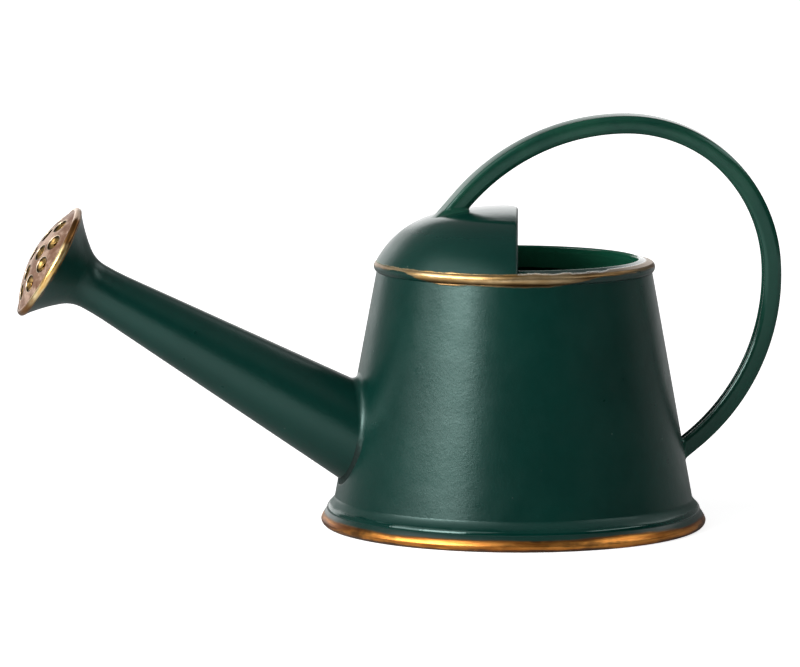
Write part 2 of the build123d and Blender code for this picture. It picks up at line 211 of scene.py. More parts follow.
def gilding(g, where, along, seed, bright, deep, dull=BRONZE):
    """Colour, roughness and height of brushed antique gold. along is where, stretched so that the
    brush marks follow the ring."""
    streak = g.noise(along, 1.0 * MM, detail=3.0, roughness=0.6, seed=seed)
    patch = g.noise(where, 2.4 * MM, detail=3.0, roughness=0.6, seed=seed + 4.0)
    colour = g.mix(g.ramp(streak, 0.36, 0.60), deep, bright)
    worn = g.ramp(g.math("MULTIPLY", g.math("ADD", streak, patch), 0.5), 0.50, 0.62)
    colour = g.mix(g.math("MULTIPLY", worn, 0.75), colour, dull)
    rough = g.blend(streak, 0.20, 0.46)
    height = g.math("ADD", g.math("MULTIPLY", streak, 0.045 * MM),
                    g.math("MULTIPLY", patch, 0.03 * MM))
    grain = g.noise(where, 0.10 * MM, detail=2.0, seed=seed + 6.0)
    height = g.math("ADD", height, g.math("MULTIPLY", grain, 0.006 * MM))
    return colour, rough, height


def surface(g, colour, rough, height, metal=0.0, edge=0.12 * MM, gloss=GREEN_GLOSS):
    """One Principled surface, its edges softened over the distance edge."""
    bump = g.node("ShaderNodeBump", {"Strength": 1.0, "Distance": 1.0, "Height": height})
    if edge:
        soft = g.node("ShaderNodeBevel", {"Radius": edge}, samples=6)
        g.put(bump.inputs["Normal"], soft.outputs["Normal"])
    paint = g.node("ShaderNodeBsdfPrincipled",
                   {"Base Color": colour, "Roughness": rough, "Metallic": metal, "IOR": 1.55,
                    "Specular Tint": gloss, "Normal": bump.outputs["Normal"]})
    out = g.node("ShaderNodeOutputMaterial")
    g.put(out.inputs["Surface"], paint.outputs[0])


def paint_over(g, gold_share, green, gold):
    """Gold over green, by share."""
    colour = g.mix(gold_share, green[0], gold[0])
    rough = g.blend(gold_share, green[1], gold[1])
    height = g.blend(gold_share, green[2], g.math("ADD", gold[2], 0.03 * MM))
    return colour, rough, height


def new_material(name):
    material = bpy.data.materials.new(name)
    material.use_nodes = True
    return material, Graph(material.node_tree)


def green_paint(name):
    material, g = new_material(name)
    colour, rough, height = enamel(g, position(g))
    surface(g, colour, rough, height)
    return material


def handle_paint():
    """The same enamel, lighter on the upper part of the hoop, partly rubbed where the can is
    carried and partly a painted highlight, and polished on its outer and inner sides."""
    material, g = new_material("handle_paint")
    where = position(g)
    colour, rough, height = enamel(g, where)
    # Lighter green on the hoop's upper part: wear and painted highlight
    rubbed = g.ramp(g.noise(where, 3.0 * MM, detail=4.0, roughness=0.6, seed=61.0), 0.30, 0.62)
    rubbed = g.math("MULTIPLY", rubbed, g.ramp(height_of(g, where), 36.0 * MM, 46.0 * MM))
    colour = g.mix(g.blend(rubbed, 0.45, 0.95), colour, GREEN_RUBBED_AND_LIT)
    polished = g.ramp(facing(g, "Y"), 0.62, 0.42)
    rough = g.blend(polished, g.math("SUBTRACT", rough, 0.15), 0.13)
    height = g.math("MULTIPLY", height, g.blend(polished, 0.4, 0.12))
    surface(g, colour, rough, height, edge=0.0)
    return material


def pooled_paint():
    """Enamel above the foot: dull in the sweep, thick and glossy where it pooled on the step."""
    material, g = new_material("foot_seam_paint")
    where = position(g)
    colour, rough, height = enamel(g, where)
    z = g.math("ADD", height_of(g, where), uneven(g, where, 1.5 * MM, 0.5 * MM, 71.0))
    pool = g.math("MULTIPLY", g.ramp(z, FOOT_TOP - 0.50 * MM, FOOT_TOP - 0.75 * MM), 0.20)
    sweep_dust = g.math("MULTIPLY", g.ramp(z, FOOT_TOP + 0.45 * MM, FOOT_TOP + 0.05 * MM),
                        g.ramp(z, FOOT_TOP - 0.60 * MM, FOOT_TOP - 0.35 * MM))
    rough = g.math("SUBTRACT", g.math("ADD", rough, g.math("MULTIPLY", sweep_dust, 0.16)), pool)
    surface(g, colour, rough, height, edge=0.06 * MM)
    return material


def facing(g, axis):
    """How far the surface is turned to one axis of the can, of either sign."""
    normal = g.node("ShaderNodeTexCoord").outputs["Normal"]
    return g.math("ABSOLUTE", g.node("ShaderNodeSeparateXYZ", {0: normal}).outputs[axis])


def height_of(g, where):
    return g.node("ShaderNodeSeparateXYZ", {0: where}).outputs["Z"]


def level_streaks(g, where):
    """Stretched along the horizontal, so that the marks go round the can."""
    return g.vector("MULTIPLY", where, (0.22, 0.22, 2.4))


def outside(g, where, radius):
    """1 beyond radius from the can's upright axis, 0 inside it."""
    flat = g.vector("MULTIPLY", where, (1.0, 1.0, 0.0))
    return g.ramp(g.vector("LENGTH", flat), radius - 0.15 * MM, radius + 0.15 * MM)


def round_can(g, where, azimuth):
    """Cosine of the angle round the can from an azimuth, which is counted as for the lights."""
    turn = math.radians(azimuth)
    toward = room @ Vector((math.sin(turn), -math.cos(turn), 0.0))
    flat = g.vector("NORMALIZE", g.vector("MULTIPLY", where, (1.0, 1.0, 0.0)))
    return g.vector("DOT_PRODUCT", flat, tuple(toward))


def uneven(g, where, size, reach, seed, detail=4.0):
    """A ragged offset of about plus or minus a quarter of reach."""
    lumps = g.noise(where, size, detail=detail, roughness=0.65, seed=seed)
    return g.math("MULTIPLY", g.math("SUBTRACT", lumps, 0.5), reach)


def bead_gold(g, where):
    """Share of gold round the mouth by height: widest on one side, a thin line elsewhere."""
    along = level_streaks(g, where)
    thin = g.ramp(round_can(g, where, -8.0), 0.955, 0.68)
    edge = g.math("ADD", g.math("MULTIPLY", thin, 1.15 * MM), RIM_BOTTOM + 0.95 * MM)
    edge = g.math("ADD", edge, uneven(g, along, 0.8 * MM, 1.0 * MM, 11.0))
    edge = g.math("ADD", edge, uneven(g, where, 6.0 * MM, 1.0 * MM, 2.0, detail=1.0))
    z = height_of(g, where)
    lower = g.ramp(g.math("SUBTRACT", z, edge), -0.08 * MM, 0.10 * MM)
    ceiling = g.math("ADD", uneven(g, where, 1.0 * MM, 0.5 * MM, 21.0), RIM_BOTTOM + 2.62 * MM)
    far_side = g.ramp(round_can(g, where, 75.0), 0.80, 0.97)
    ceiling = g.math("ADD", ceiling, g.math("MULTIPLY", far_side, 0.5 * MM))
    upper = g.ramp(g.math("SUBTRACT", z, ceiling), 0.08 * MM, -0.10 * MM)
    return g.math("MULTIPLY", lower, upper), along


def bead_gilding(g, where, along):
    """Gilding of the mouth's bead: pale and bright on top as a painted highlight, brown and patchy
    lower down as painted shade.
    """
    bright = gilding(g, where, along, 2.0, BEAD_GOLD, BEAD_GOLD_DEEP, BEAD_FAWN)
    brown = gilding(g, where, along, 9.0, BEAD_FAWN, BEAD_BROWN)
    z = g.math("ADD", height_of(g, where), uneven(g, along, 1.2 * MM, 0.9 * MM, 31.0))
    low = g.ramp(z, RIM_BOTTOM + 1.85 * MM, RIM_BOTTOM + 1.35 * MM)
    # Painted shade: the band's ends, away from the front, are turned brown
    ends = g.ramp(round_can(g, where, -22.0), 0.88, 0.62)
    low = g.math("MAXIMUM", low, g.math("MULTIPLY", ends, 0.85))
    return g.mix(low, bright[0], brown[0]), g.blend(low, bright[1], brown[1]), bright[2]


def make_rim_ring():
    material, g = new_material("rim_ring_paint")
    where = position(g)
    share, along = bead_gold(g, where)
    share = g.math("MULTIPLY", share, outside(g, where, WALL_TOP_INSIDE))
    green, rough, height = enamel(g, where)
    # Painted light: the rim's bore takes the lighter inside green
    green = g.mix(outside(g, where, RIM_BORE), GREEN_INSIDE_PAINTED_LIGHT, green)
    handled = g.ramp(height_of(g, where), RIM_BOTTOM + 2.0 * MM, RIM_BOTTOM + 2.6 * MM)
    rough = g.blend(handled, rough, 0.07)
    height = g.math("MULTIPLY", height, g.blend(handled, 1.0, 0.12))
    gold = bead_gilding(g, where, along)
    colour, rough, height = paint_over(g, share, (green, rough, height), gold)
    surface(g, colour, rough, height, metal=share, edge=0.15 * MM, gloss=PLAIN_GLOSS)
    return material


def make_bonnet():
    material, g = new_material("bonnet_paint")
    where = position(g)
    share, along = bead_gold(g, where)
    green, rough, height = enamel(g, where)
    rubbed = g.ramp(facing(g, "Z"), 0.78, 0.93)
    rough = g.blend(rubbed, rough, 0.15)
    green = (green, rough, g.math("MULTIPLY", height, g.blend(rubbed, 0.9, 0.6)))
    colour, rough, height = paint_over(g, share, green, bead_gilding(g, where, along))
    surface(g, colour, rough, height, metal=share)
    return material


def make_body():
    material, g = new_material("body_paint")
    where = position(g)
    share, along = bead_gold(g, where)
    share = g.math("MULTIPLY", share, outside(g, where, WALL_TOP_INSIDE))
    green, rough, height = enamel(g, where)
    # Painted light: the wall's inside takes the lighter inside green
    green = g.mix(outside(g, where, WALL_TOP_INSIDE), GREEN_INSIDE_PAINTED_LIGHT, green)
    gold = bead_gilding(g, where, along)
    colour, rough, height = paint_over(g, share, (green, rough, height), gold)
    surface(g, colour, rough, height, metal=share)
    return material


def make_foot_ring():
    material, g = new_material("foot_ring_paint")
    where = position(g)
    z = height_of(g, where)
    along = level_streaks(g, where)
    ragged = uneven(g, along, 1.0 * MM, 0.7 * MM, 13.0)
    wavering = uneven(g, where, 7.0 * MM, 0.9 * MM, 17.0, detail=1.0)
    from_edge = g.math("ADD", z, g.math("ADD", ragged, wavering))
    share = g.ramp(from_edge, 1.62 * MM, 1.32 * MM)
    gold = gilding(g, where, along, 5.0, FOOT_GOLD, FOOT_GOLD_DEEP)
    # Painted shade: the gold turns umber and less metallic towards the bottom, where the foot meets
    # the floor, and along the band's upper border
    shade_height = g.math("ADD", z, uneven(g, along, 1.2 * MM, 2.2 * MM, 23.0))
    bottom_shade = g.math("MULTIPLY", g.ramp(shade_height, 0.50 * MM, 0.18 * MM), 0.85)
    shade = g.math("MULTIPLY", g.ramp(from_edge, 0.95 * MM, 1.45 * MM), 0.7)
    # Painted shade: away from the front the gold is darkened in patches
    ends = g.ramp(round_can(g, where, -3.0), 0.52, 0.20)
    patches = g.ramp(g.noise(along, 1.4 * MM, detail=3.0, seed=29.0), 0.30, 0.55)
    ends = g.math("MULTIPLY", g.math("MULTIPLY", ends, patches), 0.75)
    # Here worn holds painted shade only: at the bottom, at the band's upper border and, in patches,
    # at the sides
    worn = g.math("MAXIMUM", g.math("MAXIMUM", bottom_shade, shade), ends)
    gold = (g.mix(worn, gold[0], UMBER), g.blend(worn, gold[1], 0.45), gold[2])
    colour, rough, height = paint_over(g, share, enamel(g, where), gold)
    metal = g.math("MULTIPLY", share, g.blend(bottom_shade, 1.0, 0.4))
    surface(g, colour, rough, height, metal=metal, edge=0.15 * MM, gloss=PLAIN_GLOSS)
    return material


def from_spout_axis(g, where):
    """The point seen from the spout's root: its distance along the axis, and its offset from it."""
    offset = g.vector("SUBTRACT", where, tuple(SPOUT_ROOT))
    along = g.vector("DOT_PRODUCT", offset, tuple(AXIS))
    return along, g.vector("SUBTRACT", offset, g.scaled(tuple(AXIS), along))


def axis_frame(g, where):
    """Distance along the spout's axis, and where, stretched so that brush marks go round it."""
    along, radial = from_spout_axis(g, where)
    fast = g.scaled(tuple(AXIS), g.math("MULTIPLY", along, 2.2))
    return along, g.vector("ADD", g.scaled(radial, 0.35), fast)


def turned_up(g, where):
    """Round the rose or the spout: 1 at its top, 0 at its sides, -1 at its lowest place."""
    radial = g.vector("NORMALIZE", from_spout_axis(g, where)[1])
    return g.vector("DOT_PRODUCT", radial, tuple(SPOUT_UPSIDE))


def frayed(g, along, brushed, reach):
    """Distance along the spout's axis with a frayed offset, for the border of the lip's gold."""
    fray = g.noise(brushed, 0.9 * MM, detail=4.0, roughness=0.7, seed=41.0)
    return g.math("ADD", along, g.math("MULTIPLY", g.math("SUBTRACT", fray, 0.5), reach))


def make_rose_shell():
    material, g = new_material("rose_shell_paint")
    where = position(g)
    along, brushed = axis_frame(g, where)
    border = frayed(g, along, brushed, 1.0 * MM)
    share = g.ramp(border, LIP_START - 0.15 * MM, LIP_START + 0.12 * MM)
    gold = gilding(g, where, brushed, 8.0, FOOT_GOLD, FOOT_GOLD_DEEP)
    colour, rough, height = paint_over(g, share, enamel(g, where), gold)
    surface(g, colour, rough, height, metal=share)
    return material


def make_rose_lip():
    """Gold all over but its root, with painted reflections round the axis: bright at the sides,
    brown above and below as painted shade, pale and less metallic on its crown as a painted
    highlight.
    """
    material, g = new_material("rose_lip_paint")
    where = position(g)
    along, brushed = axis_frame(g, where)
    border = frayed(g, along, brushed, 0.9 * MM)
    share = g.ramp(border, LIP_START + 0.05 * MM, LIP_START + 0.22 * MM)
    top = g.math("ADD", turned_up(g, where), uneven(g, brushed, 1.5 * MM, 0.5, 33.0))
    bright = gilding(g, where, brushed, 8.0, LIP_GOLD, LIP_GOLD_DEEP, FOOT_GOLD_DEEP)
    brown = gilding(g, where, brushed, 12.0, LIP_BROWN, LIP_BROWN_DEEP)
    # Painted shade above and below, and a painted highlight on the crown, set by place round the
    # spout's axis
    shade = g.math("MAXIMUM", g.ramp(top, 0.30, 0.48), g.ramp(top, -0.55, -0.80))
    crown = g.ramp(top, 0.84, 0.96)
    colour = g.mix(crown, g.mix(shade, bright[0], brown[0]), LIP_CROWN_HIGHLIGHT)
    gold = (colour, g.blend(shade, bright[1], brown[1]), bright[2])
    colour, rough, height = paint_over(g, share, enamel(g, where), gold)
    metal = g.math("MULTIPLY", share, g.blend(crown, 1.0, 0.3))
    surface(g, colour, rough, height, metal=metal, edge=0.15 * MM, gloss=PLAIN_GLOSS)
    return material


def make_rose_face():
    """A pale tarnished dome, with a gold dish round each hole: painted shade on each dish's sides,
    and a pale ring at its edge that is partly wear and partly a painted highlight.
    """
    material, g = new_material("rose_face_paint")
    where = position(g)
    from_centre = g.vector("LENGTH", g.vector("SUBTRACT", where, tuple(DOME_CENTRE)))
    depth = g.math("SUBTRACT", DOME_RADIUS, from_centre)
    # Painted shade on the sides of each dish and, at its edge, a pale ring of wear and painted
    # highlight
    dish = g.ramp(depth, 0.03 * MM, 0.08 * MM)
    ring = g.math("MULTIPLY", g.ramp(depth, 0.005 * MM, 0.03 * MM),
                  g.ramp(depth, 0.10 * MM, 0.05 * MM))
    bottom = g.ramp(depth, 0.12 * MM, 0.40 * MM)
    mottle = g.noise(where, 0.8 * MM, detail=3.0, roughness=0.6, seed=3.0)
    web = g.mix(g.ramp(mottle, 0.38, 0.60), FACE_BROWN, FACE_PALE)
    tarnish = g.noise(where, 1.3 * MM, detail=4.0, roughness=0.65, seed=14.0)
    tarnish = g.math("MULTIPLY", g.ramp(tarnish, 0.44, 0.58), 0.72)
    web = g.mix(tarnish, web, FACE_TARNISH)
    colour = g.mix(dish, web, g.mix(bottom, DISH_SIDE_SHADE, DISH_MIDDLE))
    colour = g.mix(ring, colour, DISH_EDGE_WEAR_AND_HIGHLIGHT)
    rough = g.blend(dish, 0.42, 0.24)
    metal = g.blend(dish, 0.35, 1.0)
    height = g.math("MULTIPLY", mottle, g.blend(dish, 0.04 * MM, 0.0))
    surface(g, colour, rough, height, metal=metal, edge=0.08 * MM, gloss=PLAIN_GLOSS)
    return material


def make_spout_weld():
    """Enamel over the joint of spout and wall, with painted shade in the crease of its lower half.
    """
    material, g = new_material("spout_weld_paint")
    where = position(g)
    green, rough, height = enamel(g, where)
    # Painted shade: the lower half of the joint is turned near black and rough, with lumps in its
    # height
    place = g.math("ADD", turned_up(g, where), uneven(g, where, 0.6 * MM, 0.5, 51.0))
    lower = g.ramp(place, 0.10, -0.30)
    colour = g.mix(g.math("MULTIPLY", lower, 0.92), green, SEAM_SHADE)
    rough = g.blend(lower, rough, 0.75)
    lumps = g.noise(where, 0.5 * MM, detail=3.0, roughness=0.7, seed=52.0)
    lumps = g.math("MULTIPLY", g.math("MULTIPLY", lower, lumps), 0.16 * MM)
    height = g.math("ADD", height, lumps)
    surface(g, colour, rough, height)
    return material


GREEN_PAINT = green_paint("green_enamel")
MATERIALS = {
    "body_shell": make_body(),
    "bonnet": make_bonnet(),
    "rim_ring": make_rim_ring(),
    "foot_ring": make_foot_ring(),
    "rose_shell": make_rose_shell(),
    "rose_lip": make_rose_lip(),
    "rose_face": make_rose_face(),
}
for name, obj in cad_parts.items():
    obj.data.materials.clear()
    obj.data.materials.append(MATERIALS.get(name, GREEN_PAINT))


# ---------------------------------------------------------------- welds
SUNK = 0.015 * MM
HALVINGS = 40
NEARINGS = 12
ROUND_STEPS = 240
SPOUT_STEPS = 128
FOOT_STEPS = 96
NECK_STEPS = 96


def skin(name):
    """The surface of one solid, for finding points on it."""
    return skin_of(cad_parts[name].data)


def skin_of(mesh):
    return BVHTree.FromPolygons([v.co for v in mesh.vertices], [p.vertices for p in mesh.polygons])


def settle(tree, point):
    """The point of a surface nearest to point, sunk a little below it."""
    found, normal = tree.find_nearest(point)[:2]
    return found - normal * SUNK


def sweep(name, rows, material):
    """A smooth sheet through rows of points that stand round an axis, facing away from it."""
    count = len(rows[0])
    vertices = [tuple(point) for row in rows for point in row]
    middles = [sum((row[k] for row in rows), Vector()) / len(rows) for k in range(count)]
    faces, outward = [], 0.0
    for i in range(len(rows)):
        j = (i + 1) % len(rows)
        for k in range(count - 1):
            a, b, c = rows[i][k], rows[j][k], rows[i][k + 1]
            outward += (b - a).cross(c - a).dot(a - middles[k])
            faces.append((i * count + k, j * count + k, j * count + k + 1, i * count + k + 1))
    if outward < 0.0:
        faces = [face[::-1] for face in faces]
    mesh = bpy.data.meshes.new(name)
    mesh.from_pydata(vertices, [], faces)
    mesh.polygons.foreach_set("use_smooth", [True] * len(faces))
    mesh.materials.append(material)
    piece = bpy.data.objects.new(name, mesh)
    bpy.context.scene.collection.objects.link(piece)
    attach(piece, "root")
    return piece


def hollow(start, corner, end, count=10):
    """A curve that leaves start and reaches end pointing at the corner between them."""
    points = []
    for k in range(count + 1):
        t = k / count
        points.append(start * (1 - t) ** 2 + corner * (2 * t * (1 - t)) + end * t ** 2)
    return points


def turned(curve):
    """The curve's copies round the can's upright axis."""
    rows = []
    for i in range(ROUND_STEPS):
        turn = Matrix.Rotation(2 * math.pi * i / ROUND_STEPS, 3, "Z")
        rows.append([turn @ point for point in curve])
    return rows


def wall_radius(z):
    return WALL_FOOT[0] - WALL_LEAN * (z - WALL_FOOT[1])


def spout_weld(material):
    """The fillet where the spout leaves the wall: broad above, close below."""
    taper = (SPOUT_TIP_RADIUS - SPOUT_ROOT_RADIUS) / SPOUT_LENGTH
    narrow, wider = 0.42 * MM, 0.95 * MM
    wall, tube = skin("body_shell"), skin("spout_tube")
    rows = []
    for i in range(SPOUT_STEPS):
        angle = 2 * math.pi * i / SPOUT_STEPS
        away = SPOUT_UPSIDE * math.cos(angle) + ACROSS * math.sin(angle)
        near, far = -8.0 * MM, 12.0 * MM
        for halving in range(HALVINGS):
            middle = (near + far) / 2
            point = SPOUT_ROOT + AXIS * middle + away * (SPOUT_ROOT_RADIUS + taper * middle)
            if math.hypot(point.x, point.y) < wall_radius(point.z):
                near = middle
            else:
                far = middle
        normal = Vector((point.x, point.y, 0.0)).normalized()
        normal = (normal + Vector((0.0, 0.0, WALL_NORMAL_RISE))).normalized()
        along_wall = (away - normal * away.dot(normal)).normalized()
        along_tube = (AXIS + away * taper).normalized()
        size = narrow + wider * (0.5 + 0.5 * math.cos(angle)) ** 1.2
        start = settle(tube, point + along_tube * size)
        end = settle(wall, point + along_wall * size)
        rows.append(hollow(start, point, end))
    piece = sweep("spout_weld", rows, material)
    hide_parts("spout_root_fillet")


CROWN = (14.41 * MM, 51.95 * MM)
FRONT_ARC, REAR_ARC = (28.25 * MM, 34.2), (19.6 * MM, 86.6)
FRONT_FOOT, FRONT_SLOPE = (-8.12 * MM, 40.72 * MM), 55.6
REAR_FOOT, REAR_SLOPE = (22.19 * MM, 9.34 * MM), 30.9
BURIED = 2.9 * MM
REACH = 2.1 * MM
# Corners of the bar's section in mm: place across the can, place outward from the hoop, radius
BAR_CORNERS = ((1.27, 1.355, 0.25), (1.27, -1.355, 0.25), (-1.0, -1.2, 0.16), (-1.27, -0.70, 0.5),
               (-1.27, 0.55, 0.5), (-1.0, 1.09, 0.16))
BAR_CROWN = 0.015 * MM


def arc_points(start, heading, radius, angle, count):
    """Points along an arc in the upright plane, from start, which turns left by angle degrees."""
    centre = (start[0] - heading[1] * radius, start[1] + heading[0] * radius)
    points = []
    for k in range(count + 1):
        turn = math.radians(angle) * k / count
        ox, oz = start[0] - centre[0], start[1] - centre[1]
        x = centre[0] + ox * math.cos(turn) - oz * math.sin(turn)
        z = centre[1] + ox * math.sin(turn) + oz * math.cos(turn)
        hx = heading[0] * math.cos(turn) - heading[1] * math.sin(turn)
        hz = heading[0] * math.sin(turn) + heading[1] * math.cos(turn)
        points.append(((x, z), (hx, hz)))
    return points


def half_of_bar(side, arc, foot, slope):
    """The bar's middle line from its crown down one side, stopping short of its foot by REACH."""
    radius, angle = arc
    points = arc_points(CROWN, (side, 0.0), -side * radius, -side * angle, 48)
    (x, z), (hx, hz) = points[-1]
    lean = math.radians(slope)
    goal = (foot[0] - BURIED * math.cos(lean) - x, foot[1] - BURIED * math.sin(lean) - z)
    across = -hz * goal[0] + hx * goal[1]
    radius = (goal[0] ** 2 + goal[1] ** 2) / (2 * across)
    span = math.degrees(2 * math.asin(math.hypot(*goal) / (2 * abs(radius))))
    span *= 1.0 - (REACH + BURIED) / (math.radians(span) * abs(radius))
    return points + arc_points((x, z), (hx, hz), radius, math.copysign(span, radius), 40)[1:]


def corner_arc(corner, before, after, radius):
    """A corner of a flat outline, rounded."""
    back, ahead = (before - corner).normalized(), (after - corner).normalized()
    half = math.acos(back.dot(ahead)) / 2
    centre = corner + (back + ahead).normalized() * (radius / math.sin(half))
    start = corner + back * (radius / math.tan(half)) - centre
    turn = math.copysign(math.pi - 2 * half, start.x * ahead.y - start.y * ahead.x)
    return [centre + Matrix.Rotation(turn * i / 7, 2) @ start for i in range(8)]


def bar_outline():
    """Section of the bar: a block with draft and bevels towards -Y, and close round corners."""
    corners = [Vector(corner[:2]) * MM for corner in BAR_CORNERS]
    count = len(corners)
    arcs = []
    for k, corner in enumerate(corners):
        radius = BAR_CORNERS[k][2] * MM
        arcs.append(corner_arc(corner, corners[k - 1], corners[(k + 1) % count], radius))
    outline = []
    for k, arc in enumerate(arcs):
        first, last = arc[-1], arcs[(k + 1) % count][0]
        along = last - first
        outward = Vector((along.y, -along.x)).normalized()
        if outward.dot(first) < 0:
            outward = -outward
        outline += arc
        for share in (0.06, 0.25, 0.5, 0.75, 0.94):
            bulge = BAR_CROWN * 4 * share * (1 - share)
            outline.append(first + along * share + outward * bulge)
    return outline


def make_bar(material):
    """The handle's bar between its feet, and each end carried on into what it stands on."""
    front = half_of_bar(-1.0, FRONT_ARC, FRONT_FOOT, FRONT_SLOPE)
    rear = half_of_bar(1.0, REAR_ARC, REAR_FOOT, REAR_SLOPE)
    line = [(place, (-hx, -hz)) for place, (hx, hz) in front[:0:-1]] + rear
    rows = []
    for u, v in bar_outline():
        row = [Vector((x - hz * v, u, z + hx * v)) for (x, z), (hx, hz) in line]
        for place, node, back in ((0, "bonnet", -1.0), (-1, "body_shell", 1.0)):
            hx, hz = line[place][1]
            onward = Vector((hx, 0.0, hz)) * back
            hit = SKINS[node].ray_cast(row[place], onward)[0] + onward * (0.2 * MM)
            row.insert(0 if place == 0 else len(row), hit)
        rows.append(row)
    bar = sweep("handle_bar", rows, material)
    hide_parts("handle_hoop")
    return skin_of(bar.data)


def foot_weld(name, node, bar, ground, foot, slope, sizes, material):
    """The fillet round one foot of the handle. sizes: its reach inside the hoop, and outside it."""
    lean = math.radians(slope)
    rise = Vector((math.cos(lean), 0.0, math.sin(lean)))
    outward = rise.cross(ACROSS).normalized()
    above = Vector((foot[0], 0.0, foot[1])) + rise * (1.8 * MM)
    rows = []
    for i in range(FOOT_STEPS):
        angle = 2 * math.pi * i / FOOT_STEPS
        away = outward * math.cos(angle) + ACROSS * math.sin(angle)
        side = bar.ray_cast(above, away)[0]
        corner, normal = ground.ray_cast(side, -rise)[:2]
        for nearing in range(NEARINGS):
            side = bar.find_nearest(corner)[0]
            corner, normal = ground.find_nearest(side)[:2]
        along_ground = (away - normal * away.dot(normal)).normalized()
        share = 0.5 + 0.5 * math.cos(angle)
        size = sizes[0] + (sizes[1] - sizes[0]) * share
        start = settle(bar, corner + rise * size)
        end = settle(ground, corner + along_ground * size)
        rows.append(hollow(start, corner, end))
    piece = sweep(name, rows, material)
    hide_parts(node)


def profile_radius(tree, z):
    """Radius of a round solid's outside at one height."""
    start = Vector((0.0, -0.04, z))
    found = tree.ray_cast(start, Vector((0.0, 1.0, 0.0)))[0]
    return -found.y


def foot_seam(material):
    """The sweep from the wall out to the foot, which ends in a low step above the foot's round."""
    wall, foot = skin("body_shell"), skin("foot_ring")
    top, bottom = FOOT_TOP + 0.55 * MM, FOOT_TOP - 1.30 * MM
    corner = profile_radius(wall, FOOT_TOP + 0.15 * MM) + 0.05 * MM
    edge = profile_radius(foot, bottom)
    high = Vector((profile_radius(wall, top) - SUNK, 0.0, top))
    knee = Vector((edge - 0.30 * MM, 0.0, FOOT_TOP - 0.58 * MM))
    shoulder = Vector((edge - 0.03 * MM, 0.0, FOOT_TOP - 0.82 * MM))
    low = Vector((edge + 0.004 * MM, 0.0, FOOT_TOP - 1.24 * MM))
    curve = hollow(high, Vector((corner, 0.0, FOOT_TOP - 0.02 * MM)), knee, 12)
    curve += hollow(knee, shoulder, low, 14)[1:]
    curve.append(Vector((edge - 0.02 * MM, 0.0, FOOT_TOP - 1.31 * MM)))
    sweep("foot_seam", turned(curve), material)


def rim_seam(material):
    """The soft turn from the wall into the bead round the mouth."""
    wall, rim = skin("body_shell"), skin("rim_ring")
    top, bottom = RIM_BOTTOM + 0.75 * MM, RIM_BOTTOM - 0.85 * MM
    high = Vector((profile_radius(rim, top) - SUNK, 0.0, top))
    corner = Vector((profile_radius(wall, RIM_BOTTOM - 0.15 * MM), 0.0, RIM_BOTTOM + 0.1 * MM))
    low = Vector((profile_radius(wall, bottom) - SUNK, 0.0, bottom))
    sweep("rim_seam", turned(hollow(high, corner, low)), material)


def neck_seam(material):
    """Enamel over the joint of spout and rose."""
    ends = []
    for node, along in (("spout_tube", 34.7 * MM), ("rose_shell", 36.9 * MM)):
        outside_point = SPOUT_ROOT + AXIS * along + ACROSS * 0.02
        found = skin(node).ray_cast(outside_point, -ACROSS)[0]
        ends.append(Vector((along, found.y - SUNK, 0.0)))
    joint = Vector((SPOUT_LENGTH, SPOUT_TIP_RADIUS + 2 * SUNK, 0.0))
    curve = hollow(ends[0], joint, ends[1])
    rows = []
    for i in range(NECK_STEPS):
        angle = 2 * math.pi * i / NECK_STEPS
        away = SPOUT_UPSIDE * math.cos(angle) + ACROSS * math.sin(angle)
        rows.append([SPOUT_ROOT + AXIS * point.x + away * point.y for point in curve])
    sweep("neck_seam", rows, material)


SKINS = {name: skin(name) for name in ("bonnet", "body_shell")}
HANDLE_PAINT = handle_paint()
spout_weld(make_spout_weld())
handle_skin = make_bar(HANDLE_PAINT)
foot_weld("front_foot_weld", "handle_front_fillet", handle_skin, SKINS["bonnet"],
          FRONT_FOOT, FRONT_SLOPE, (0.8 * MM, 1.4 * MM), HANDLE_PAINT)
foot_weld("rear_foot_weld", "handle_rear_fillet", handle_skin, SKINS["body_shell"],
          REAR_FOOT, REAR_SLOPE, (0.8 * MM, 0.8 * MM), HANDLE_PAINT)
foot_seam(pooled_paint())
rim_seam(MATERIALS["body_shell"])
neck_seam(GREEN_PAINT)


# ---------------------------------------------------------------- camera
CAMERA_RISE = math.radians(6.715)
CAMERA_ROLL = math.radians(0.11)
CAMERA_DISTANCE = 681.3 * MM
CAMERA_LENS = 236.5
AIM = Vector((-14.79, 0.0, 24.82)) * MM

aim = room @ AIM
toward = room @ Vector((0.0, -math.cos(CAMERA_RISE), math.sin(CAMERA_RISE)))
camera_data = bpy.data.cameras.new("camera")
camera_data.sensor_fit = "HORIZONTAL"
camera_data.sensor_width = 36.0
camera_data.lens = CAMERA_LENS
camera = bpy.data.objects.new("camera", camera_data)
bpy.context.scene.collection.objects.link(camera)
look = (-toward).to_track_quat("-Z", "Y").to_matrix()
look = look @ Matrix.Rotation(CAMERA_ROLL, 3, "Z")
camera.matrix_world = Matrix.Translation(aim + toward * CAMERA_DISTANCE) @ look.to_4x4()
bpy.context.scene.camera = camera
bpy.context.scene.view_settings.view_transform = "Standard"


# ---------------------------------------------------------------- floor, lights and surroundings
FLOOR_HALF = 1.5
BACKDROP_AZIMUTH = math.radians(-165.0)
PANEL_DISTANCE = 0.9
PANEL_AIM = Vector((0.0, 0.0, 0.025))
# Name, azimuths, elevations and radiance
PANELS = (
    ("softbox", (-62, -32), (13, 33), 11.5),
    ("softbox_end", (-84, -62), (13, 33), 5.2),
    ("upper_panel", (-95, -15), (34, 57), 1.2),
    ("right_strip", (50, 94), (27, 38), 2.4),
    ("far_panel", (110, 150), (28, 48), 1.0),
)


